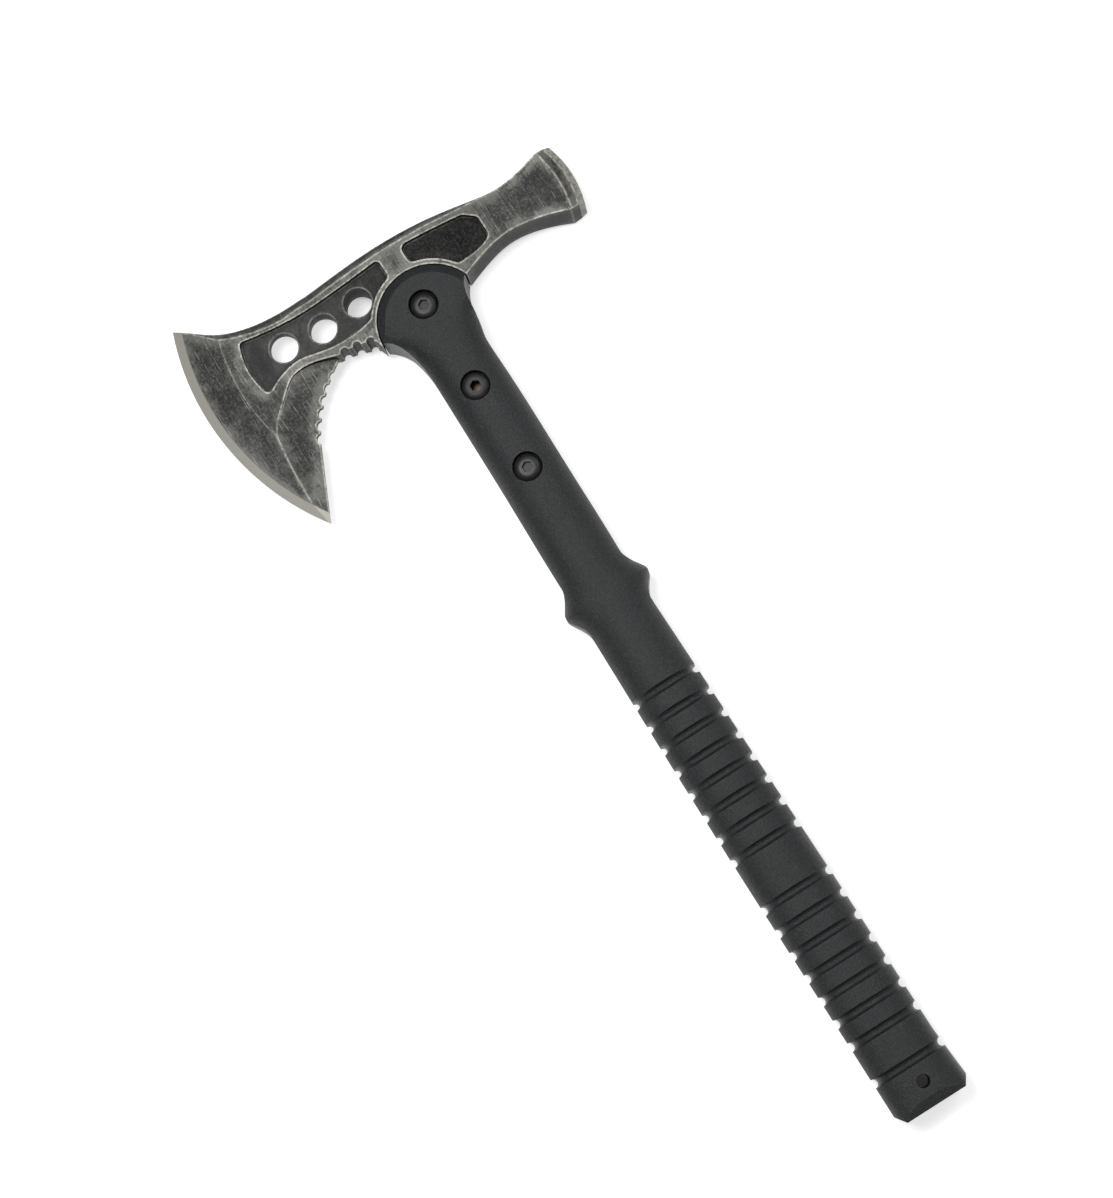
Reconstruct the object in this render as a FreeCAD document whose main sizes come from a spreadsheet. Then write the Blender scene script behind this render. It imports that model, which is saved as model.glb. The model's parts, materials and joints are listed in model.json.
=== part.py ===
import FreeCAD, Part
import math
import os
import Sketcher

# Hatchet with a hammer poll.  The frame: +X runs along the handle from the butt to the head,
# +Y points to the cutting edge and +Z is the thickness.  The origin is the lanyard hole's axis,
# half way through the handle.  Millimetres.

SIZES = {
    # handle
    "butt_x": -9.3,
    "handle_half_thick": 12.3,
    "butt_front_y": 15.0,
    "butt_rear_y": -14.3,
    "grip_front_y": 14.9,
    "grip_rear_y": -12.3,
    "waist_front_y": 13.8,
    "waist_rear_y": -11.4,
    "neck_front_y": 12.3,
    "neck_rear_y": -12.0,
    "butt_cut_x": 3.8,
    "butt_cut_y": 2.8,
    "guard_x": 202.8,
    "guard_front_y": 18.1,
    "guard_rear_y": -16.1,
    "guard_half_base": 10.0,
    "guard_tip_radius": 3.8,
    "butt_chamfer": 2.4,
    "crown_margin": 0.5,
    "rim_bevel": 3.2,
    "rim_bevel_drop": 2.2,
    "lanyard_radius": 2.5,
    # grip grooves
    "groove_radius": 1.75,
    "groove_depth": 1.65,
    "end_groove_x": 7.8,
    "lower_groove_x": 22.7,
    "upper_groove_x": 98.3,
    "groove_pitch": 9.3,
    "lower_groove_count": 7,
    "upper_groove_count": 8,
    # collar, where the handle's round end sits in the head
    "collar_x": 320.0,
    "collar_y": 0.5,
    "collar_radius": 20.3,
    "collar_gap": 0.5,
    # head
    "web_half_thick": 4.0,
    "tang_half_width": 7.5,
    "tang_end_x": 243.0,
    "tang_clearance": 0.25,
    "eye_half_thick": 9.6,
    "poll_half_thick": 8.5,
    "hammer_half_thick": 10.7,
    "blade_half_thick": 3.7,
    "back_x": 354.2,
    "back_chamfer": 2.9,
    "back_chamfer_drop": 2.2,
    "pocket_depth": 2.0,
    "light_hole_radius": 5.3,
    "edge_centre_x": 335.4,
    "edge_centre_y": -9.8,
    "edge_radius": 98.5,
    "edge_half_thick": 0.25,
    "grind_width": 3.5,
    "grind_half_thick": 1.35,
    "bevel_width": 15.4,
    "hammer_centre_x": 338.8,
    "hammer_centre_y": -31.2,
    "hammer_face_radius": 39.0,
    "scallop_radius": 1.9,
    "scallop_count": 6,
    "jimp_radius": 1.45,
    # fasteners
    "upper_screw_x": 325.7,
    "middle_screw_x": 290.6,
    "lower_screw_x": 255.6,
    "counterbore_radius": 5.5,
    "counterbore_depth": 4.0,
    "barrel_radius": 4.0,
    "barrel_clearance": 0.1,
    "barrel_length": 14.0,
    "thread_radius": 3.0,
    "shank_length": 12.0,
    "button_radius": 5.3,
    "button_height": 3.1,
    "nut_head_radius": 5.3,
    "nut_head_height": 3.0,
    "hex_across": 3.8,
    "hex_depth": 2.0,
}

# places on the head, as X and Y
BEARD_TOP = (304.8, 58.8)
BEARD_ROOT = (326.6, 38.9)
LIGHT_HOLES = ((340.5, 20.1), (340.0, 35.6), (342.1, 51.3))
SCALLOP_CENTRE = (283.7, 15.7)
SCALLOP_PATH_RADIUS = 47.4
JIMPS = ((325.6, 23.7), (327.2, 28.6), (328.0, 33.5))

V = FreeCAD.Vector
doc = FreeCAD.newDocument("hatchet")
sheet = doc.addObject("Spreadsheet::Sheet", "sizes")
for row, (alias, value) in enumerate(SIZES.items(), start=1):
    sheet.set(f"A{row}", alias)
    sheet.set(f"B{row}", str(value))
    sheet.setAlias(f"B{row}", alias)
doc.recompute()


def size(alias):
    return float(sheet.get(alias))


def new_body(name):
    body = doc.addObject("PartDesign::Body", name)
    body.Label = name
    return body


def new_sketch(body, name, role="XY_Plane", offset=None):
    plane = next(item for item in body.Origin.OriginFeatures if item.Role == role)
    sketch = body.newObject("Sketcher::SketchObject", name)
    sketch.AttachmentSupport = [(plane, "")]
    sketch.MapMode = "FlatFace"
    if offset is not None:
        sketch.AttachmentOffset = offset
    return sketch


def add_loop(sketch, edges):
    """Add edges end to end and close them with coincident points."""
    first = sketch.GeometryCount
    sketch.addGeometry(edges, False)
    last = sketch.GeometryCount - 1
    for index in range(first, last + 1):
        following = index + 1 if index < last else first
        end = nearest_end(sketch, index, following)
        start = nearest_end(sketch, following, index)
        sketch.addConstraint(Sketcher.Constraint("Coincident", index, end, following, start))
    return first


def nearest_end(sketch, index, other):
    ends = [(sketch.getPoint(index, a) - sketch.getPoint(other, b)).Length
            for a in (1, 2) for b in (1, 2)]
    best = ends.index(min(ends))
    return 1 if best < 2 else 2


def pin(sketch, index, end, x_text, y_text):
    """Hold one end of an edge at a place taken from the sheet."""
    point = sketch.getPoint(index, end)
    for kind, value, text in (("DistanceX", point.x, x_text), ("DistanceY", point.y, y_text)):
        number = sketch.addConstraint(Sketcher.Constraint(kind, -1, 1, index, end, value))
        sketch.setExpression(f"Constraints[{number}]", text)


def add_circle(sketch, x_text, y_text, radius_text, x, y, radius):
    index = sketch.addGeometry(Part.Circle(V(x, y, 0), V(0, 0, 1), radius), False)
    pin(sketch, index, 3, x_text, y_text)
    number = sketch.addConstraint(Sketcher.Constraint("Radius", index, radius))
    sketch.setExpression(f"Constraints[{number}]", radius_text)
    return index


def line(a, b):
    return Part.LineSegment(V(*a, 0), V(*b, 0))


def arc(a, middle, b):
    return Part.Arc(V(*a, 0), V(*middle, 0), V(*b, 0))


def spline(points):
    curve = Part.BSplineCurve()
    curve.interpolate([V(x, y, 0) for x, y in points])
    return curve


def polygon(points):
    return [line(a, b) for a, b in zip(points, points[1:] + points[:1])]


def pad(body, sketch, name, length_text, both_ways=False, reversed_way=False):
    feature = body.newObject("PartDesign::Pad", name)
    feature.Profile = sketch
    feature.SideType = "Symmetric" if both_ways else "One side"
    feature.Reversed = reversed_way
    feature.setExpression("Length", length_text)
    return feature


def pocket(body, sketch, name, length_text=None, both_ways=False, reversed_way=False):
    """Cut a profile; without a length it goes right through."""
    feature = body.newObject("PartDesign::Pocket", name)
    feature.Profile = sketch
    feature.SideType = "Symmetric" if both_ways else "One side"
    feature.Reversed = reversed_way
    if length_text is None:
        feature.Type = "ThroughAll"
    else:
        feature.setExpression("Length", length_text)
    return feature


def cut_groove(body, sketch, name, angle):
    """Turn a profile about its sketch's own vertical axis and cut it away."""
    feature = body.newObject("PartDesign::Groove", name)
    feature.Profile = sketch
    feature.ReferenceAxis = (sketch, ["V_Axis"])
    feature.Midplane = True
    feature.Angle = angle
    return feature


def turned(name, profile, x, axis_up, dome):
    """A body turned about its own Z axis from a half profile given as (radius, height).
    The profile's edge numbered dome is an arc that bulges outwards."""
    body = new_body(name)
    sketch = new_sketch(body, name + "_profile", "XZ_Plane")
    edges = polygon(profile)
    rim, crown = profile[dome], profile[dome + 1]
    bulge = 0.16
    middle = (0.5 * (rim[0] + crown[0]) + bulge * (crown[1] - rim[1]),
              0.5 * (rim[1] + crown[1]) + bulge * (rim[0] - crown[0]))
    edges[dome] = arc(rim, middle, crown)
    add_loop(sketch, edges)
    feature = body.newObject("PartDesign::Revolution", name + "_turned")
    feature.Profile = sketch
    feature.ReferenceAxis = (sketch, ["V_Axis"])
    feature.Angle = 360
    flip = FreeCAD.Rotation() if axis_up else FreeCAD.Rotation(V(1, 0, 0), 180)
    body.Placement = FreeCAD.Placement(V(x, size("collar_y"), 0), flip)
    return body


def hexagon(across):
    corner = across / math.sqrt(3)
    return [(corner * math.cos(math.radians(60 * n)),
             corner * math.sin(math.radians(60 * n))) for n in range(6)]


def handle_outline():
    """Plan of the handle: two long edges with a guard bump each, a flare and the round end."""
    collar = V(size("collar_x"), size("collar_y"), 0)
    end_radius = size("collar_radius") - size("collar_gap")

    def on_end(angle):
        turn = math.radians(angle)
        return collar.x + end_radius * math.cos(turn), collar.y + end_radius * math.sin(turn)

    butt = size("butt_x")
    cut_x = size("butt_cut_x")
    cut_y = size("butt_cut_y")
    edges = []
    for side, rim_angle in ((1, 84), (-1, -68)):
        word = "front" if side > 0 else "rear"
        butt_y = size(f"butt_{word}_y")
        grip_y = size(f"grip_{word}_y")
        waist_y = size(f"waist_{word}_y")
        neck_y = size(f"neck_{word}_y")
        tip_y = size(f"guard_{word}_y")
        tip = size("guard_tip_radius")
        guard = size("guard_x")
        base = size("guard_half_base")
        rim = on_end(rim_angle)
        height = abs(tip_y - waist_y)
        knee = (guard - 0.42 * base, waist_y + side * height * 0.52)
        far_knee = (guard + 0.42 * base, waist_y + side * height * 0.52)
        tip_half = 0.55 * tip
        tip_low = tip_y - side * (tip - math.sqrt(tip ** 2 - tip_half ** 2))
        flare = neck_y * 0.97
        run = [
            line((butt, butt_y - side * cut_y), (butt + cut_x, butt_y)),
            spline([(butt + cut_x, butt_y), (50.0, 0.5 * (butt_y + grip_y)), (110.0, grip_y),
                    (165.0, 0.4 * grip_y + 0.6 * waist_y), (guard - base, waist_y)]),
            spline([(guard - base, waist_y), (guard - 0.72 * base, waist_y + side * height * 0.14),
                    knee, (guard - tip_half, tip_low)]),
            arc((guard - tip_half, tip_low), (guard, tip_y), (guard + tip_half, tip_low)),
            spline([(guard + tip_half, tip_low), far_knee,
                    (guard + 0.72 * base, waist_y + side * height * 0.12), (guard + base,
                                                                            waist_y - side * 0.2)]),
            spline([(guard + base, waist_y - side * 0.2), (250.0, 0.4 * waist_y + 0.6 * neck_y),
                    (296.0, neck_y), (307.0, flare + side * 0.7), (313.5, flare + side * 2.1),
                    (0.5 * (313.5 + rim[0]), 0.5 * (flare + rim[1]) - side * 0.2), rim]),
        ]
        edges += run if side > 0 else [edge for edge in reversed(run)]
        if side > 0:
            upper_rim = rim
    edges.insert(6, arc(upper_rim, on_end(5), on_end(-68)))
    edges.append(line((butt, size("butt_rear_y") + cut_y), (butt, size("butt_front_y") - cut_y)))
    return edges


def crown_section(half_width, half_thick, power, middle):
    """Closed oval between a circle (power 2) and a rectangle (high power)."""
    count = 40
    points = []
    for step in range(count):
        turn = 2 * math.pi * (step + 0.5) / count
        across = math.copysign(abs(math.cos(turn)) ** (2 / power), math.cos(turn))
        upward = math.copysign(abs(math.sin(turn)) ** (2 / power), math.sin(turn))
        points.append(V(middle + half_width * across, half_thick * upward, 0))
    curve = Part.BSplineCurve()
    curve.interpolate(points, True)
    return curve


def make_handle():
    thick = size("handle_half_thick")
    plan = new_body("handle_plan")
    outline = new_sketch(plan, "handle_outline")
    add_loop(outline, handle_outline())
    pin(outline, 0, 1, "sizes.butt_x", "sizes.butt_front_y - sizes.butt_cut_y")
    pad(plan, outline, "handle_pad", "2 * sizes.handle_half_thick + 1", both_ways=True)
    butt = size("butt_x")
    chamfer = size("butt_chamfer")
    end_cut = new_sketch(plan, "butt_end_profile", "XZ_Plane")
    for side in (1, -1):
        corner = [(butt - 2, side * (thick - chamfer)), (butt, side * (thick - chamfer)),
                  (butt + size("butt_cut_x"), side * thick), (butt + size("butt_cut_x"), side * (thick + 3)),
                  (butt - 2, side * (thick + 3))]
        add_loop(end_cut, polygon(corner))
    pocket(plan, end_cut, "butt_chamfer_cut", "200 mm", both_ways=True)

    collar = size("collar_x")
    end_radius = size("collar_radius") - size("collar_gap")
    width = size("rim_bevel")
    drop = size("rim_bevel_drop")
    rim = new_sketch(plan, "rim_bevel_profile", "XZ_Plane", upright_xz(collar, size("collar_y")))
    for side in (1, -1):
        add_loop(rim, polygon([(end_radius - width, side * thick), (end_radius, side * (thick - drop)),
                               (end_radius + 3, side * (thick - drop)), (end_radius + 3, side * (thick + 3)),
                               (end_radius - width, side * (thick + 3))]))
    cut_groove(plan, rim, "rim_bevel_cut", 176)

    slot = new_sketch(plan, "tang_slot_outline")
    add_loop(slot, tang_outline(size("tang_clearance"), size("collar_radius") + 4))
    pocket(plan, slot, "tang_slot", "2 * sizes.web_half_thick", both_ways=True)
    fastener_holes(plan, counterbores=True)
    lanyard = new_sketch(plan, "lanyard_circle")
    add_circle(lanyard, "0", "0", "sizes.lanyard_radius", 0, 0, size("lanyard_radius"))
    pocket(plan, lanyard, "lanyard_hole", "4 * sizes.handle_half_thick", both_ways=True)

    envelope = new_body("handle_envelope")
    margin = size("crown_margin")
    guard = size("guard_x")
    base = size("guard_half_base")
    stations = (
        (butt - 6, "butt", 3.4, margin),
        (butt + 22.0, "grip", 2.8, margin + 0.2),
        (110.0, "grip", 2.4, margin),
        (guard - 1.2 * base, "waist", 2.3, margin + 0.3),
        (guard - 0.5 * base, "waist", 2.3, margin + 2.0),
        (guard, "guard", 2.3, margin + 0.4),
        (guard + 0.5 * base, "waist", 2.3, margin + 2.0),
        (guard + 1.2 * base, "waist", 2.3, margin + 0.3),
        (collar - 62.0, "neck", 2.3, margin + 0.4),
        (collar - 30.0, "neck", 2.35, margin + 0.4),
        (collar - 16.0, "neck", 2.5, margin + 0.5),
        (collar - 6.0, "neck", 3.0, margin + 2.3),
        (collar - 0.5, "neck", 3.6, margin + 8.2),
        (collar + 6.0, "neck", 5.0, margin + 12.0),
        (collar + 25.0, "neck", 8.0, margin + 28.0),
    )
    sections = []
    for number, (x, word, power, extra) in enumerate(stations):
        front = size(f"{word}_front_y")
        rear = size(f"{word}_rear_y")
        place = FreeCAD.Placement(V(0, 0, x), FreeCAD.Rotation())
        section = new_sketch(envelope, f"crown_{number}", "YZ_Plane", place)
        half_width = 0.5 * (front - rear) + extra
        section.addGeometry(crown_section(half_width, thick, power, 0.5 * (front + rear)), False)
        sections.append(section)
    loft = envelope.newObject("PartDesign::AdditiveLoft", "crown_loft")
    loft.Profile = sections[0]
    loft.Sections = sections[1:]
    loft.Ruled = True

    blank = doc.addObject("Part::MultiCommon", "handle_blank")
    blank.Shapes = [plan, envelope]
    doc.recompute()
    grooves = doc.addObject("Part::Feature", "grip_grooves")
    grooves.Shape = Part.makeCompound([ring_groove(blank.Shape, x) for x in groove_places()])
    handle = doc.addObject("Part::Cut", "handle")
    handle.Base = blank
    handle.Tool = grooves
    return handle


def groove_places():
    pitch = size("groove_pitch")
    lower = [size("lower_groove_x") + pitch * n for n in range(int(size("lower_groove_count")))]
    upper = [size("upper_groove_x") + pitch * n for n in range(int(size("upper_groove_count")))]
    return [size("end_groove_x")] + lower + upper


def ring_groove(grip, x):
    """A round bar bent round the grip's section; it leaves a round-bottomed groove."""
    wires = grip.slice(V(1, 0, 0), x)
    box = max((wire.BoundBox for wire in wires), key=lambda each: each.YLength)
    radius = size("groove_radius")
    lift = radius - size("groove_depth")
    middle = 0.5 * (box.YMin + box.YMax)
    flat = crown_section(0.5 * box.YLength + lift, size("handle_half_thick") + lift, 3.1, middle)
    points = [V(x, point.x, point.y) for point in flat.discretize(49)[:-1]]
    curve = Part.BSplineCurve()
    curve.interpolate(points, True)
    path = Part.Wire([curve.toShape()])
    start = curve.value(curve.FirstParameter)
    tangent = curve.tangent(curve.FirstParameter)[0]
    bar = Part.Wire([Part.Circle(start, tangent, radius).toShape()])
    return path.makePipeShell([bar], True, False)


def upright_xz(x, y):
    """Offset that puts a sketch on the XZ plane with its vertical axis at x, y."""
    return FreeCAD.Placement(V(x, 0, -y), FreeCAD.Rotation())


def upright_yz(x, y):
    """The same for a sketch on the YZ plane."""
    return FreeCAD.Placement(V(y, 0, x), FreeCAD.Rotation())


def on_circle(x, y, radius, angle):
    turn = math.radians(angle)
    return x + radius * math.cos(turn), y + radius * math.sin(turn)


def tang_outline(grow, reach):
    """Plan of the web inside the collar and of the tang below it."""
    x = size("collar_x")
    y = size("collar_y")
    half = size("tang_half_width") + grow
    end = size("tang_end_x") - grow
    upper = on_circle(x, y, reach, 66)
    lower = on_circle(x, y, reach, -60)
    shoulder = x - 18.0
    corner = 0.5 * half
    return [
        arc(lower, on_circle(x, y, reach, 3), upper),
        spline([upper, (x - 1.5, y + half + 6.0), (x - 8.5, y + half + 1.6), (shoulder, y + half)]),
        line((shoulder, y + half), (end + corner, y + half)),
        arc((end + corner, y + half), (end + 0.29 * corner, y + half - 0.29 * corner), (end,
                                                                                        y + half - corner)),
        line((end, y + half - corner), (end, y - half + corner)),
        arc((end, y - half + corner), (end + 0.29 * corner, y - half + 0.29 * corner), (end + corner,
                                                                                        y - half)),
        line((end + corner, y - half), (shoulder, y - half)),
        spline([(shoulder, y - half), (x - 8.5, y - half - 1.6), (x - 0.5, y - half - 5.0), lower]),
    ]


def fastener_holes(body, counterbores):
    """Through holes for the sleeve nuts, and a counterbore at both ends of each."""
    x_of = {word: size(f"{word}_screw_x") for word in ("upper", "middle", "lower")}
    through = new_sketch(body, body.Name + "_barrel_circles")
    radius = size("barrel_radius") + size("barrel_clearance")
    for word, x in x_of.items():
        add_circle(through, f"sizes.{word}_screw_x", "sizes.collar_y",
                   "sizes.barrel_radius + sizes.barrel_clearance", x, size("collar_y"), radius)
    pocket(body, through, body.Name + "_barrel_holes", "4 * sizes.handle_half_thick", both_ways=True)
    if not counterbores:
        return
    for side, word_side in ((1, "front"), (-1, "back")):
        spare = 1.0
        place = FreeCAD.Placement(V(0, 0, side * (size("handle_half_thick") + spare)), FreeCAD.Rotation())
        circles = new_sketch(body, f"{word_side}_counterbore_circles", "XY_Plane", place)
        for word, x in x_of.items():
            add_circle(circles, f"sizes.{word}_screw_x", "sizes.collar_y", "sizes.counterbore_radius",
                       x, size("collar_y"), size("counterbore_radius"))
        pocket(body, circles, f"{word_side}_counterbores", f"sizes.counterbore_depth + {spare}",
               reversed_way=side < 0)


def head_outline():
    """Plan of the head outside the collar: arm, beard, edge, back, hammer and poll neck."""
    x = size("collar_x")
    y = size("collar_y")
    radius = size("collar_radius")
    upper = on_circle(x, y, radius, 87)
    lower = on_circle(x, y, radius, -69)
    edge_x = size("edge_centre_x")
    edge_y = size("edge_centre_y")
    edge_radius = size("edge_radius")
    horn = on_circle(edge_x, edge_y, edge_radius, 69.5)
    beard_tip = on_circle(edge_x, edge_y, edge_radius, 125.2)
    beard_top = BEARD_TOP
    beard_root = BEARD_ROOT
    back = size("back_x")
    face_y = size("hammer_centre_y") - size("hammer_face_radius") - 2
    hammer_front = size("hammer_centre_x") + 12.3
    hammer_rear = size("hammer_centre_x") - 12.2
    return [
        arc(lower, on_circle(x, y, radius, 9), upper),
        line(upper, (324.4, 21.9)),
        spline([(324.4, 21.9), (326.2, 25.5), (327.8, 31.5), (328.2, 36.5)]),
        line((328.2, 36.5), beard_root),
        arc(beard_root, (317.8, 49.5), beard_top),
        line(beard_top, beard_tip),
        arc(beard_tip, on_circle(edge_x, edge_y, edge_radius, 95), horn),
        spline([horn, (back + 12.2, 78.0), (back + 6.0, 70.0), (back + 1.3, 57.5), (back - 0.4, 42.0),
                (back - 0.5, 26.0), (back + 0.1, 8.0), (back - 1.0, -14.0), (back - 3.7, -30.0),
                (back - 5.9, -43.0), (back - 5.2, -53.0), (hammer_front, -62.0)]),
        line((hammer_front, -62.0), (hammer_front, face_y)),
        line((hammer_front, face_y), (hammer_rear, face_y)),
        line((hammer_rear, face_y), (hammer_rear, -62.5)),
        spline([(hammer_rear, -62.5), (329.4, -55.5), (331.9, -46.0), (332.5, -38.5), (331.0, -29.5),
                lower]),
    ]


def half_thickness():
    """The head's half thickness against Y, from the hammer face to the edge."""
    eye = size("eye_half_thick")
    poll = size("poll_half_thick")
    hammer = size("hammer_half_thick")
    blade = size("blade_half_thick")
    middle = 0.5 * (eye + blade)
    return [(-76.0, hammer + 0.3), (-65.0, hammer), (-56.0, 0.5 * (hammer + poll)), (-44.0, poll),
            (-30.0, poll + 0.45 * (eye - poll)), (-14.0, eye), (4.0, eye + 0.1), (19.0, eye - 0.3),
            (28.0, middle + 1.3), (37.0, middle - 0.7), (51.0, blade + 0.9), (64.0, blade + 0.3),
            (76.0, blade), (96.0, blade)]


def thickness_at(y):
    """Half thickness on the same smooth curve."""
    curve = Part.BSplineCurve()
    curve.interpolate([V(0, place, height) for place, height in half_thickness()])
    return min(curve.discretize(600), key=lambda point: abs(point.y - y)).z


def back_chamfer():
    """The sloping band along the head's back edge, widest beside the eye and gone at the poll."""
    back = size("back_x")
    full = size("back_chamfer")
    beyond = 1.6
    # Y, where the back edge stands there, and how much of the full width the band has
    stations = [(-42.0, -5.8, 0.05), (-34.0, -4.5, 0.25), (-25.7, -2.9, 0.55), (-15.5, -1.2, 0.78),
                (-5.4, -0.3, 0.9), (4.7, 0.2, 1.0), (15.0, -0.1, 1.0), (25.0, -0.5, 0.97), (35.0, -0.5, 1.05),
                (46.0, -0.2, 1.12), (52.0, 0.4, 1.1), (58.0, 1.5, 1.0), (65.5, 4.0, 1.0), (70.5, 6.4, 0.98),
                (76.5, 10.7, 0.98), (80.3, 14.1, 0.9), (84.0, 17.4, 0.9)]
    tool = new_body("back_chamfer_tool")
    sections = []
    for number, (y, offset, share) in enumerate(stations):
        place = FreeCAD.Placement(V(0, 0, -y), FreeCAD.Rotation())
        section = new_sketch(tool, f"back_chamfer_{number}", "XZ_Plane", place)
        width = full * share
        height = thickness_at(y)
        drop = min(size("back_chamfer_drop"), 0.5 * height) * min(share, 1.0)
        inner = back + offset - width
        outer = back + offset + beyond
        add_loop(section, polygon([(inner, height), (outer, height - drop * (width + beyond) / width),
                                   (outer, height + 4), (inner, height + 4)]))
        sections.append(section)
    loft = tool.newObject("PartDesign::AdditiveLoft", "back_chamfer_loft")
    loft.Profile = sections[0]
    loft.Sections = sections[1:]
    loft.Ruled = True
    return tool


def cut_above(body, sketch_name, feature_name):
    """Cut away everything above the thickness curve."""
    profile = new_sketch(body, sketch_name, "YZ_Plane")
    low = half_thickness()
    first, last = low[0], low[-1]
    top = 30.0
    add_loop(profile, [spline(low), line(last, (last[0], top)), line((last[0], top), (first[0], top)),
                       line((first[0], top), first)])
    pocket(body, profile, feature_name, "1600 mm", both_ways=True)


def pocket_tool(name, outline, corner):
    """A solid that sinks a pocket to an even depth below the head's surface."""
    body = new_body(name)
    plan = new_sketch(body, name + "_outline")
    add_loop(plan, outline)
    block = pad(body, plan, name + "_pad", "2 * sizes.hammer_half_thick")
    doc.recompute()
    upright = [n for n, edge in enumerate(block.Shape.Edges, start=1) if edge.BoundBox.ZLength > 5]
    fillet = body.newObject("PartDesign::Fillet", name + "_corners")
    fillet.Base = (block, [f"Edge{n}" for n in upright])
    fillet.Radius = corner
    doc.recompute()
    low = new_sketch(body, name + "_floor", "YZ_Plane")
    depth = size("pocket_depth")
    floor = [(y, z - depth) for y, z in half_thickness()]
    first, last = floor[0], floor[-1]
    add_loop(low, [spline(floor), line(last, (last[0], -9)), line((last[0], -9), (first[0], -9)),
                   line((first[0], -9), first)])
    pocket(body, low, name + "_below", "1600 mm", both_ways=True)
    return body


def front_pocket_outline():
    x = size("collar_x")
    y = size("collar_y")
    rim = size("collar_radius") + 1.9
    low = on_circle(x, y, rim, 13.5)
    high = on_circle(x, y, rim, 56.5)
    back = size("back_x")
    return [
        line(low, (back - 4.7, 5.7)),
        spline([(back - 4.7, 5.7), (back - 5.8, 25.0), (back - 4.9, 46.0), (back - 1.9, 64.0)]),
        arc((back - 1.9, 64.0), (back - 13.6, 66.6), (back - 24.4, 64.6)),
        spline([(back - 24.4, 64.6), (back - 20.6, 57.0), (back - 19.4, 49.0), (back - 21.6, 39.5),
                (back - 23.0, 31.0), high]),
        arc(high, on_circle(x, y, rim, 35), low),
    ]


def rear_pocket_outline():
    x = size("collar_x")
    y = size("collar_y")
    rim = size("collar_radius") + 1.9
    high = on_circle(x, y, rim, -10)
    low = on_circle(x, y, rim, -57)
    back = size("back_x")
    return [
        line(high, (back - 4.8, -3.3)),
        spline([(back - 4.8, -3.3), (back - 5.6, -14.0), (back - 7.2, -28.5)]),
        line((back - 7.2, -28.5), (back - 10.8, -33.0)),
        line((back - 10.8, -33.0), (back - 18.6, -33.0)),
        spline([(back - 18.6, -33.0), (back - 20.6, -29.5), (back - 21.7, -24.0), low]),
        arc(low, on_circle(x, y, rim, -33), high),
    ]


def beard_facet():
    """Everything above the beard's sloping facet, inside the curved step at its root."""
    region = new_body("beard_region")
    plan = new_sketch(region, "beard_region_outline")
    step = [(319.3, 68.7), (324.6, 62.2), (328.4, 58.0), (330.9, 54.3), (331.7, 50.0), (331.2, 45.0),
            (329.9, 40.5), (328.4, 36.6)]
    add_loop(plan, [spline(step), line(step[-1], (300.0, 28.0)), line((300.0, 28.0), (262.0, 50.0)),
                    line((262.0, 50.0), (262.0, 100.0)), line((262.0, 100.0), (319.3, 100.0)),
                    line((319.3, 100.0), step[0])])
    pad(region, plan, "beard_region_pad", "2 * sizes.hammer_half_thick")
    slab = doc.addObject("Part::Box", "beard_slab")
    side = 160.0
    slab.Length = side
    slab.Width = side
    slab.Height = 30.0
    normal = V(-0.0995, -0.1283, 1)
    tilt = FreeCAD.Rotation(V(0, 0, 1), normal)
    on_plane = V(289.1, 72.5, size("grind_half_thick") + 0.1)
    slab.Placement = FreeCAD.Placement(on_plane - tilt.multVec(V(side / 2, side / 2, 0)), tilt)
    tool = doc.addObject("Part::MultiCommon", "beard_facet_tool")
    tool.Shapes = [region, slab]
    return tool


def make_head():
    body = new_body("head_half")
    outline = new_sketch(body, "head_outline")
    add_loop(outline, head_outline())
    pad(body, outline, "head_pad", "sizes.hammer_half_thick + 1")
    cut_above(body, "thickness_profile", "thickness_cut")

    edge_thick = size("edge_half_thick")
    grind = size("grind_half_thick")
    blade = size("blade_half_thick")
    radius = size("edge_radius")
    width = size("bevel_width")
    steep = (blade - grind) / (width - size("grind_width"))
    bevel = new_sketch(body, "bevel_profile", "YZ_Plane",
                       upright_yz(size("edge_centre_x"), size("edge_centre_y")))
    add_loop(bevel, polygon([(radius + 3, edge_thick), (radius, edge_thick), (radius - size("grind_width"),
                                                                              grind),
                             (radius - width - 8, blade + 8 * steep), (radius - width - 8, 20.0),
                             (radius + 3, 20.0)]))
    cut_groove(body, bevel, "bevel_cut", 110)

    face = size("hammer_face_radius")
    hammer = size("hammer_half_thick")
    crown = new_sketch(body, "hammer_profile", "YZ_Plane",
                       upright_yz(size("hammer_centre_x"), size("hammer_centre_y")))
    add_loop(crown, polygon([(-face, -1.0), (-face, hammer - 3.4), (-face + 2.4, hammer - 0.7),
                             (-face + 6.5, hammer + 0.1), (-face + 6.5, 20.0),
                             (-face - 9.0, 20.0), (-face - 9.0, -1.0)]))
    cut_groove(body, crown, "hammer_cut", 90)

    tang = new_sketch(body, "tang_outline")
    add_loop(tang, tang_outline(0.0, size("collar_radius") + 1.0))
    pad(body, tang, "tang_pad", "sizes.web_half_thick")
    fastener_holes(body, counterbores=False)
    small_cuts(body)
    doc.recompute()

    half = body
    for tool in (pocket_tool("front_pocket", front_pocket_outline(), 1.8),
                 pocket_tool("rear_pocket", rear_pocket_outline(), 2.6), beard_facet(), back_chamfer()):
        cut = doc.addObject("Part::Cut", "head_less_" + tool.Name)
        cut.Base = half
        cut.Tool = tool
        half = cut
    other = doc.addObject("Part::Mirroring", "head_other_half")
    other.Source = half
    other.Normal = V(0, 0, 1)
    head = doc.addObject("Part::MultiFuse", "axe_head")
    head.Shapes = [half, other]
    head.Refine = True
    return head


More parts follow.
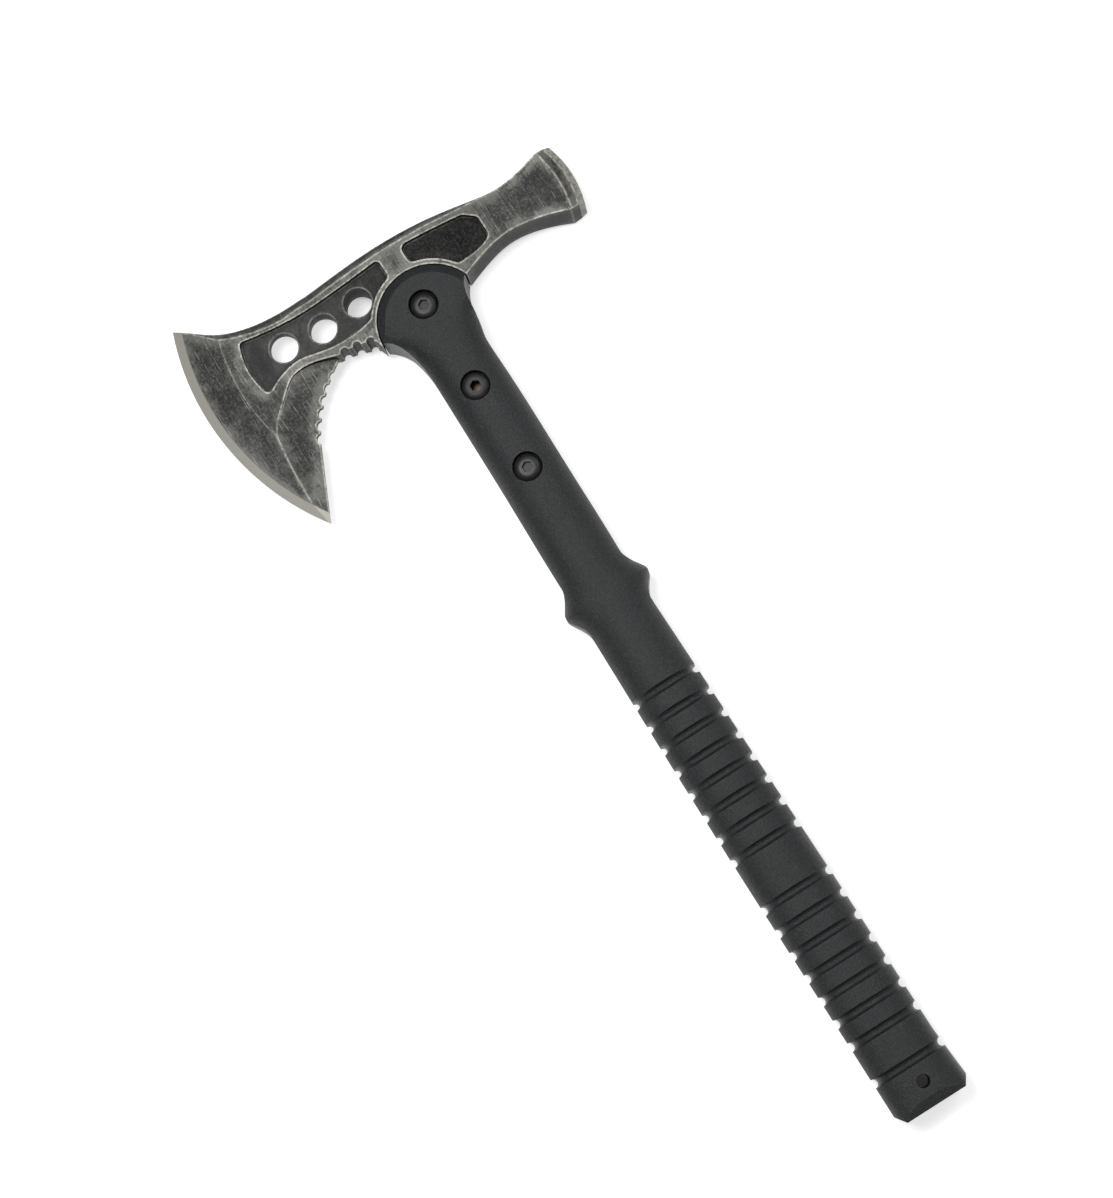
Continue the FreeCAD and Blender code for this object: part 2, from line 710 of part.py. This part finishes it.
def small_cuts(body):
    """Lightening holes, the beard's scallops and the thumb notches of the arm."""
    holes = new_sketch(body, "light_hole_circles")
    for x, y in LIGHT_HOLES:
        holes.addGeometry(Part.Circle(V(x, y, 0), V(0, 0, 1), size("light_hole_radius")), False)
        number = holes.addConstraint(Sketcher.Constraint("Radius", holes.GeometryCount - 1,
                                                         size("light_hole_radius")))
        holes.setExpression(f"Constraints[{number}]", "sizes.light_hole_radius")
    pocket(body, holes, "light_holes", "4 * sizes.hammer_half_thick", both_ways=True)
    scallops = new_sketch(body, "scallop_circles")
    count = int(size("scallop_count"))
    for number in range(count):
        angle = 30.0 + 34.0 * (number + 0.5) / count
        x, y = on_circle(*SCALLOP_CENTRE, SCALLOP_PATH_RADIUS, angle)
        scallops.addGeometry(Part.Circle(V(x, y, 0), V(0, 0, 1), size("scallop_radius")), False)
    for x, y in JIMPS:
        scallops.addGeometry(Part.Circle(V(x, y, 0), V(0, 0, 1), size("jimp_radius")), False)
    pocket(body, scallops, "scallop_cuts", "4 * sizes.hammer_half_thick", both_ways=True)


def make_fasteners():
    """Three M6 button heads, each screwed into a sleeve nut from the other face."""
    seat = size("handle_half_thick") - size("counterbore_depth")
    thread = size("thread_radius")
    barrel = size("barrel_radius")
    nut_head = size("nut_head_radius")
    key_bore = 0.5 * size("hex_across") - 0.05
    nut_top = seat + size("nut_head_height")
    nut_end = seat - size("barrel_length")
    button = size("button_radius")
    button_top = seat + size("button_height")
    screw_end = seat - size("shank_length")
    for word, screw_in_front in (("upper", True), ("middle", False), ("lower", True)):
        x = size(f"{word}_screw_x")
        screw = turned(f"screw_{word}", [
            (0, screw_end), (thread - 0.6, screw_end), (thread, screw_end + 0.6), (thread, seat),
            (button, seat), (button, seat + 1.2), (0.45 * button, button_top), (0, button_top)],
            x, screw_in_front, dome=5)
        hex_socket(screw, button_top, "sizes.hex_depth")
        nut = turned(f"sleeve_nut_{word}", [
            (thread, nut_end), (barrel, nut_end), (barrel, seat), (nut_head, seat),
            (nut_head, seat + 1.2), (0.52 * nut_head, nut_top), (key_bore, nut_top),
            (key_bore, seat + 0.6), (thread, seat + 0.6)], x, not screw_in_front, dome=4)
        hex_socket(nut, nut_top, "sizes.nut_head_height - 0.6")


def hex_socket(body, top, depth_text):
    place = FreeCAD.Placement(V(0, 0, top), FreeCAD.Rotation())
    sketch = new_sketch(body, body.Name + "_hexagon", "XY_Plane", place)
    add_loop(sketch, polygon(hexagon(size("hex_across"))))
    pocket(body, sketch, body.Name + "_socket", depth_text)


def main():
    make_handle()
    make_head()
    make_fasteners()
    doc.recompute()
    for item in doc.Objects:
        if "Invalid" in item.State or "Error" in item.State:
            raise RuntimeError(f"{item.Label} did not build: {item.getStatusString()}")
    os.makedirs("parts", exist_ok=True)
    names = ["axe_head", "handle"]
    names += [f"{kind}_{word}" for kind in ("screw", "sleeve_nut") for word in ("upper", "middle", "lower")]
    for name in names:
        shape = doc.getObject(name).Shape
        if shape.isNull() or not shape.isValid():
            raise RuntimeError(f"{name} has no valid shape")
        shape.exportStep(f"parts/{name}.step")
        print(name, "solids", len(shape.Solids), "volume", round(shape.Volume, 1))


main()
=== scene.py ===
import json
import math

import bpy
from mathutils import Matrix, Vector

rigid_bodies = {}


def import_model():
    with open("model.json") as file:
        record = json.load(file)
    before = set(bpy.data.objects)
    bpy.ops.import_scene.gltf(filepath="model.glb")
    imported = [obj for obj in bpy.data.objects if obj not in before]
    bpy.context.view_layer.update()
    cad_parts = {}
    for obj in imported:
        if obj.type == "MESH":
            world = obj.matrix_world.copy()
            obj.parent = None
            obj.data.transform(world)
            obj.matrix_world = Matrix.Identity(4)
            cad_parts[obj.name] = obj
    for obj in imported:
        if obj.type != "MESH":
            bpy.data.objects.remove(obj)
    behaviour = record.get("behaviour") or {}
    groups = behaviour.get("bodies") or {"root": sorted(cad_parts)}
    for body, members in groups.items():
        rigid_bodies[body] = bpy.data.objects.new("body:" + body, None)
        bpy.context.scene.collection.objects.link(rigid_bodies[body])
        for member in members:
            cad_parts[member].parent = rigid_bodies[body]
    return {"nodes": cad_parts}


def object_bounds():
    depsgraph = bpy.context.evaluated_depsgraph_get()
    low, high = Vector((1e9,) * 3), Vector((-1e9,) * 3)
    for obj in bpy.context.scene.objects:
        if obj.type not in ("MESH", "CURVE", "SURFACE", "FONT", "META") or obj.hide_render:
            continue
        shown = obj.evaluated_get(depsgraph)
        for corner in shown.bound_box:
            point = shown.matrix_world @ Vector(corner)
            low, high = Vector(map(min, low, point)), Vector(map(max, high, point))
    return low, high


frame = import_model()
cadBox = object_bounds()
print("frame loaded, box", [round(v * 1000, 1) for v in (*cadBox[0], *cadBox[1])])


# a shader socket that takes part in sums and makes the nodes they need
class Wire:
    def __init__(self, tree, socket=None):
        self.tree = tree
        self.socket = socket

    def node(self, kind, settings=None, sockets=None, output=0):
        made = self.tree.nodes.new(kind)
        for name, value in (settings or {}).items():
            if name == "stops":
                ramp = made.color_ramp
                while len(ramp.elements) < len(value):
                    ramp.elements.new(0.5)
                for stop, (place, shade) in zip(ramp.elements, value):
                    stop.position = place
                    stop.color = (shade, shade, shade, 1)
            else:
                setattr(made, name, value)
        for name, value in (sockets or {}).items():
            if isinstance(value, Wire):
                self.tree.links.new(value.socket, made.inputs[name])
            else:
                made.inputs[name].default_value = value
        return Wire(self.tree, made.outputs[output])

    def maths(self, operation, first, second=0.0, third=0.0):
        return self.node("ShaderNodeMath", {"operation": operation}, {0: first, 1: second, 2: third})

    def __add__(self, other):
        return self.maths("ADD", self, other)

    def __radd__(self, other):
        return self.maths("ADD", other, self)

    def __sub__(self, other):
        return self.maths("SUBTRACT", self, other)

    def __rsub__(self, other):
        return self.maths("SUBTRACT", other, self)

    def __mul__(self, other):
        return self.maths("MULTIPLY", self, other)

    def __rmul__(self, other):
        return self.maths("MULTIPLY", other, self)

    def __truediv__(self, other):
        return self.maths("DIVIDE", self, other)

    def __abs__(self):
        return self.maths("ABSOLUTE", self)

    def along(self, axis):
        return self.node("ShaderNodeSeparateXYZ", None, {0: self}, output=axis)

    # 0 below low, 1 above high, smooth between
    def within(self, low, high):
        return self.node("ShaderNodeMapRange", {"interpolation_type": "SMOOTHSTEP"},
                         {"Value": self, "From Min": low, "From Max": high})

    def most(self, other):
        return self.maths("MAXIMUM", self, other)

    def least(self, other):
        return self.maths("MINIMUM", self, other)


# first where share is 0, second where it is 1
def blendColours(wire, share, first, second):
    sides = {}
    for number, colour in ((6, first), (7, second)):   # the Mix node's colour sockets
        sides[number] = colour if isinstance(colour, Wire) else (*colour, 1)
    return wire.node("ShaderNodeMix", {"data_type": "RGBA"}, {0: share, **sides}, output=2)


def newFinish(name):
    material = bpy.data.materials.new(name)
    material.use_nodes = True
    tree = material.node_tree
    surface = next(n for n in tree.nodes if n.type == "BSDF_PRINCIPLED")
    return material, Wire(tree), surface


def connect(wire, surface, values):
    for name, value in values.items():
        if isinstance(value, Wire):
            wire.tree.links.new(value.socket, surface.inputs[name])
        else:
            surface.inputs[name].default_value = value


# how far the surface turns within a small radius: 0 on flats, towards 1 on sharp edges
def edgeTurn(wire, radius):
    rounded = wire.node("ShaderNodeBevel", {"samples": 8}, {"Radius": radius})
    plain = wire.node("ShaderNodeNewGeometry", output="Normal")
    gap = wire.node("ShaderNodeVectorMath", {"operation": "SUBTRACT"}, {0: rounded, 1: plain})
    return wire.node("ShaderNodeVectorMath", {"operation": "LENGTH"}, {0: gap}, output="Value")


# 1 in the open, falling towards 0 in corners and, unless ownOnly, near other pieces
def openness(wire, distance, ownOnly=True):
    return wire.node("ShaderNodeAmbientOcclusion", {"samples": 8, "only_local": ownOnly},
                     {"Distance": distance}, output="AO")


def noise(wire, place, scale, detail, roughness, distortion=0.0):
    return wire.node("ShaderNodeTexNoise", None, {"Vector": place, "Scale": scale, "Detail": detail,
                                                  "Roughness": roughness, "Distortion": distortion})


def bump(wire, height, strength, distance):
    return wire.node("ShaderNodeBump", None, {"Height": height, "Strength": strength, "Distance": distance})


# noise drawn out into lines across the direction with the largest scale
def streaks(wire, place, turn, scale, detail, roughness):
    turned = wire.node("ShaderNodeMapping", None,
                       {"Vector": place, "Rotation": (0, 0, math.radians(turn)), "Scale": scale})
    return noise(wire, turned, 1.0, detail, roughness)


# distance from a point of the plan, whatever the height
def fromPoint(wire, x, y, point):
    flat = wire.node("ShaderNodeCombineXYZ", None, {0: x, 1: y})
    return wire.node("ShaderNodeVectorMath", {"operation": "DISTANCE"},
                     {0: flat, 1: (*point, 0)}, output="Value")


# the steel head: dark tumbled steel, rubbed bright on its creases
headSteel = {
    "dark": (0.0135, 0.0135, 0.0130),
    "mid": (0.128, 0.127, 0.116),
    "worn": (0.47, 0.46, 0.405),
    "paintedShade": (0.010, 0.010, 0.010),
    "slopeShade": (0.012, 0.012, 0.012),
    "pocketRear": (0.0105, 0.0105, 0.011),
    "pocketFront": (0.030, 0.030, 0.030),
    "pocketLight": (0.050, 0.049, 0.047),
    "edge": (0.385, 0.375, 0.335),
    "edgeCentre": (0.3354, -0.0098),   # in plan, the middle of the blade's arc
    "edgeRadius": 0.0950,        # where the ground band begins
    "pocketRadius": 0.0810,      # where the front pocket ends
    "pocketStart": 0.3320,       # no pocket lies nearer the handle
    "lightHoles": ((0.3405, 0.0201), (0.3400, 0.0356), (0.3421, 0.0513)),
    "lightHoleRim": 0.0064,
    "faceCentre": (0.3388, -0.0312),
    "faceRadius": 0.0366,        # the hammer's struck end
    "faceStart": -0.060,
    "width": (-0.076, 0.096),    # along Y, from the hammer's end to past the blade
    "halfThick": 0.012,
    # half thickness across the head: shares of the width and of halfThick
    "thickness": [
        (0.000, 0.917), (0.064, 0.892), (0.116, 0.800), (0.186, 0.708), (0.267, 0.750), (0.360, 0.800),
        (0.465, 0.808), (0.552, 0.775), (0.604, 0.663), (0.657, 0.496), (0.738, 0.383), (0.814, 0.333),
        (0.884, 0.308), (1.000, 0.308)],
    "scratchShare": 0.45,
    "bumpHeight": 0.00025,
}


def headFinish(look):
    material, wire, surface = newFinish("headSteel")
    place = wire.node("ShaderNodeTexCoord", output="Object")
    x, y, z = (place.along(axis) for axis in "XYZ")
    facingUp = abs(wire.node("ShaderNodeNewGeometry", output="Normal").along("Z"))
    # steep walls, such as the insides of the holes, get painted shade
    shadedWalls = 1 - facingUp.within(0.15, 0.45)

    # the tumbled skin
    clouds = noise(wire, place, 38, 4, 0.6, 0.4)
    blotches = noise(wire, place, 170, 6, 0.68)
    grain = noise(wire, place, 1050, 4, 0.65)
    specks = noise(wire, place, 1500, 3, 0.6).within(0.60, 0.70)
    lines = streaks(wire, place, 62, (60, 1500, 60), 3, 0.6)
    crossLines = streaks(wire, place, -20, (40, 1100, 40), 3, 0.6)
    scratches = streaks(wire, place, 35, (90, 2600, 90), 2, 0.5).within(0.66, 0.72).most(
        streaks(wire, place, -58, (110, 2300, 110), 2, 0.5).within(0.67, 0.73))
    rubbed = edgeTurn(wire, 0.0065).within(0.01, 0.20) * openness(wire, 0.004).within(0.55, 0.95)
    lowBlade = (0.5 - x.within(0.300, 0.365)) * y.within(0.045, 0.070)
    tone = (clouds.within(0.42, 0.60) * 0.26 + blotches.within(0.42, 0.64) * 0.26
            + grain.within(0.43, 0.60) * 0.34 + lines.within(0.45, 0.70) * 0.15
            + crossLines.within(0.5, 0.72) * 0.15 + rubbed * (0.36 + 0.64 * blotches.within(0.40, 0.56))
            + lowBlade * 0.26 - 0.21)

    # floors of the pockets, known by how far they lie under the head's face
    start, stop = look["width"]
    faceHeight = wire.node("ShaderNodeValToRGB", {"stops": look["thickness"]},
                           {0: (y - start) / (stop - start)}, output="Color")
    depth = faceHeight * look["halfThick"] - abs(z)
    fromEdge = fromPoint(wire, x, y, look["edgeCentre"])
    pocket = (depth.within(0.0007, 0.0014) * facingUp.within(0.6, 0.9)
              * x.within(look["pocketStart"] - 0.0005, look["pocketStart"] + 0.0005)
              * (1 - fromEdge.within(look["pocketRadius"] - 0.0005, look["pocketRadius"] + 0.0005)))
    inFront = y.within(-0.005, 0.03)
    floorTone = blendColours(wire, inFront, look["pocketRear"], look["pocketFront"])
    floorTone = blendColours(wire, grain.within(0.45, 0.62) * 0.5, floorTone, look["pocketLight"])

    # bright edges, less so round the light holes, and painted shade in the corners
    chips = noise(wire, place, 700, 3, 0.6).within(0.34, 0.62)
    wear = (edgeTurn(wire, 0.0010).within(0.012, 0.12) * openness(wire, 0.0016).within(0.55, 0.9)
            * (0.18 + 0.82 * chips))
    for hole in look["lightHoles"]:
        away = fromPoint(wire, x, y, hole)
        wear = wear * (0.35 + 0.65 * away.within(look["lightHoleRim"], look["lightHoleRim"] + 0.0006))
    paintedShade = (1 - openness(wire, 0.003).within(0.25, 0.95)) * 0.75

    # the hammer's struck end and the ground cutting edge
    fromFace = fromPoint(wire, x, y, look["faceCentre"])
    struck = (fromFace.within(look["faceRadius"], look["faceRadius"] + 0.0004)
              * (1 - y.within(look["faceStart"] - 0.002, look["faceStart"])))
    ground = fromEdge.within(look["edgeRadius"] - 0.0001, look["edgeRadius"] + 0.0002)
    # painted shade: faces that tilt away from flat are darkened, except on the ground edge
    shadedSlopes = (1 - facingUp.within(0.55, 0.93)) * (1 - ground)

    # each layer covers the ones before it by its share
    colour = blendColours(wire, tone, look["dark"], look["mid"])
    for share, layer in (
            (specks * (0.10 + 0.35 * clouds.within(0.4, 0.65)), look["worn"]),
            (scratches * look["scratchShare"], look["worn"]),
            (pocket * 0.9, floorTone),
            # painted shade: in the corners, on sloping faces and on steep walls
            (paintedShade, look["paintedShade"]),
            (shadedSlopes * 0.6, look["slopeShade"]),
            (shadedWalls * 0.75, look["paintedShade"]),
            (wear.least(0.85) * (1 - 0.6 * shadedWalls), look["worn"]),
            (struck * (0.25 + 0.4 * chips), look["worn"]),
            (ground, look["edge"])):
        colour = blendColours(wire, share, colour, layer)

    skinRoughness = 0.52 - 0.12 * tone + 0.10 * grain + 0.14 * pocket
    groundRoughness = 0.46 + 0.08 * lines
    roughness = skinRoughness * (1 - ground) + groundRoughness * ground
    height = (blotches * 0.4 + grain * 0.6 + lines * 0.5) * (1 - ground)
    connect(wire, surface, {
        "Base Color": colour,
        "Metallic": 0.30 + 0.25 * ground + 0.45 * pocket * (1 - inFront),
        "Roughness": (roughness + 0.15 * shadedWalls).least(0.9),
        "Normal": bump(wire, height, 0.55, look["bumpHeight"])})
    return material


# the moulded handle: grained charcoal nylon
handleNylon = {
    "base": (0.0098, 0.0112, 0.0120),
    "light": (0.0310, 0.0335, 0.0345),
    "worn": (0.050, 0.052, 0.054),
    "paintedShade": (0.005, 0.0052, 0.0055),
    "roughness": 0.36,
    "shine": 0.40,
    "grainScale": 1700,
    "bumpHeight": 0.00034,
}


def handleFinish(look):
    material, wire, surface = newFinish("handleNylon")
    place = wire.node("ShaderNodeTexCoord", output="Object")
    grain = noise(wire, place, look["grainScale"], 3, 0.6)
    coarse = noise(wire, place, look["grainScale"] * 0.45, 2, 0.5)
    clouds = noise(wire, place, 45, 3, 0.5)
    flow = streaks(wire, place, 0, (14, 260, 260), 2, 0.5)
    wear = edgeTurn(wire, 0.0006).within(0.05, 0.5) * openness(wire, 0.001).within(0.6, 0.95)
    # painted shade in the grooves and corners
    paintedShade = (1 - openness(wire, 0.0025).within(0.2, 0.9)) * 0.6
    # pale specks: partly the nylon's own grain, partly painted sparkle of the grain
    tone = clouds.within(0.3, 0.7) * 0.12 + flow.within(0.35, 0.7) * 0.06 + grain.within(0.52, 0.66) * 0.82
    colour = blendColours(wire, tone, look["base"], look["light"])
    colour = blendColours(wire, wear * 0.30, colour, look["worn"])
    colour = blendColours(wire, paintedShade, colour, look["paintedShade"])
    roughness = look["roughness"] + 0.10 * grain + 0.05 * clouds - 0.05 * wear
    connect(wire, surface, {
        "Base Color": colour, "Roughness": roughness, "Specular IOR Level": look["shine"],
        "Normal": bump(wire, grain * 0.9 + coarse * 0.3, 1.0, look["bumpHeight"])})
    return material


# screws and sleeve nuts: black oxide
fastenerBlack = {
    "base": (0.022, 0.022, 0.023),
    "light": (0.046, 0.045, 0.045),
    "worn": (0.10, 0.095, 0.088),
    "paintedShade": (0.006, 0.006, 0.006),
    "rust": (0.085, 0.047, 0.026),
    "screwRoughness": 0.36,
    "nutRoughness": 0.46,
    "rustyRoughness": 0.30,
    "rustAbove": 0.0005,         # the end of the middle screw that shows in its nut
    "bumpHeight": 0.00008,
}


def fastenerFinish(name, look, roughness, rusty=False):
    material, wire, surface = newFinish(name)
    place = wire.node("ShaderNodeTexCoord", output="Object")
    stain = noise(wire, place, 420, 4, 0.6)
    fine = noise(wire, place, 2600, 3, 0.6)
    wear = edgeTurn(wire, 0.0004).within(0.08, 0.6) * openness(wire, 0.0006).within(0.5, 0.95)
    # painted shade in the sockets and recesses
    paintedShade = (1 - openness(wire, 0.0024).within(0.30, 0.95)) * 0.8
    colour = blendColours(wire, stain.within(0.35, 0.7) * 0.5, look["base"], look["light"])
    if rusty:
        nearEnd = place.along("Z").within(look["rustAbove"], look["rustAbove"] + 0.0003)
        colour = blendColours(wire, nearEnd * (0.5 + 0.35 * stain.within(0.3, 0.6)), colour, look["rust"])
    colour = blendColours(wire, wear * 0.45, colour, look["worn"])
    colour = blendColours(wire, paintedShade, colour, look["paintedShade"])
    connect(wire, surface, {
        "Base Color": colour, "Metallic": 0.35, "Roughness": roughness + 0.14 * stain,
        "Normal": bump(wire, fine + stain, 0.2, look["bumpHeight"])})
    return material


def fastenerFinishes(look):
    screw = fastenerFinish("screwBlack", look, look["screwRoughness"])
    rustyScrew = fastenerFinish("screwEndBrown", look, look["rustyRoughness"], rusty=True)
    nut = fastenerFinish("sleeveNutBlack", look, look["nutRoughness"])
    return {"screw_upper": screw, "screw_middle": rustyScrew, "screw_lower": screw,
            "sleeve_nut_upper": nut, "sleeve_nut_middle": nut, "sleeve_nut_lower": nut}


def dress(node, material):
    for part in [node, *node.children_recursive]:
        if part.type == "MESH":
            for slot in part.material_slots:
                slot.material = material


finishes = {"axe_head": headFinish(headSteel), "handle": handleFinish(handleNylon),
            **fastenerFinishes(fastenerBlack)}
for name, material in finishes.items():
    dress(frame["nodes"][name], material)
print("finishes on", len(finishes), "pieces")


# floor and lamps
stageLook = {
    "floorColour": 0.80,
    "floorGlow": 0.62,           # its own light, seen but not cast
    "shadowReach": 0.012,        # the glow fades this near the hatchet
    "world": 0.30,
    "aim": (0.2, 0, 0),
    "lamps": [                   # name, place, width, watts
        ("overhead", (0.42, 0.18, 1.25), 0.36, 8.8),
        ("farSide", (0.45, -0.85, 0.80), 0.60, 2.6),
    ],
}


def floorFinish(look):
    material, wire, surface = newFinish("floorWhite")
    seen = wire.node("ShaderNodeLightPath", output="Is Camera Ray").most(
        wire.node("ShaderNodeLightPath", output="Is Glossy Ray"))
    # painted contact shadow: the glow fades near the hatchet and inside its holes
    unshadowed = openness(wire, look["shadowReach"], ownOnly=False).within(0.05, 0.45)
    connect(wire, surface, {
        "Base Color": (look["floorColour"],) * 3 + (1,), "Roughness": 0.9, "Specular IOR Level": 0.0,
        "Emission Color": blendColours(wire, seen * unshadowed, (0, 0, 0), (1, 1, 1)),
        "Emission Strength": look["floorGlow"]})
    return material


def makeStage(look, low):
    aim = Vector(look["aim"])
    bpy.ops.mesh.primitive_plane_add(size=12, location=(aim.x, aim.y, low))
    floor = bpy.context.object
    floor.name = "floor"
    floor.data.materials.append(floorFinish(look))
    world = bpy.data.worlds.new("softWhite")
    bpy.context.scene.world = world
    world.use_nodes = True
    back = next(n for n in world.node_tree.nodes if n.type == "BACKGROUND")
    back.inputs["Color"].default_value = (1, 1, 1, 1)
    back.inputs["Strength"].default_value = look["world"]
    for name, place, width, watts in look["lamps"]:
        data = bpy.data.lights.new(name, "AREA")
        data.shape = "SQUARE"
        data.size = width
        data.energy = watts
        lamp = bpy.data.objects.new(name, data)
        lamp.location = place
        lamp.rotation_euler = (aim - Vector(place)).to_track_quat("-Z", "Y").to_euler()
        bpy.context.collection.objects.link(lamp)


makeStage(stageLook, cadBox[0].z)
print("floor and lamps ready")


# camera
cameraLook = {
    "place": (0.0316, 0.0297, 1.1921),
    "target": (0.2116, 0.0170, 0.0),
    "upTurn": -32.23,            # degrees, the floor direction that stands upright in the frame
    "lens": 101.6,
    "sensor": 36,
}


def makeCamera(look):
    data = bpy.data.cameras.new("camera")
    data.sensor_fit = "AUTO"
    data.sensor_width = look["sensor"]
    data.lens = look["lens"]
    camera = bpy.data.objects.new("camera", data)
    bpy.context.collection.objects.link(camera)
    back = (Vector(look["place"]) - Vector(look["target"])).normalized()
    lean = math.radians(look["upTurn"])
    right = Vector((math.cos(lean), math.sin(lean), 0)).cross(back).normalized()
    up = back.cross(right)
    turn = Matrix((right, up, back)).transposed().to_4x4()
    camera.matrix_world = Matrix.Translation(Vector(look["place"])) @ turn
    bpy.context.scene.camera = camera


makeCamera(cameraLook)
bpy.context.scene.view_settings.view_transform = "Standard"
print("camera ready")
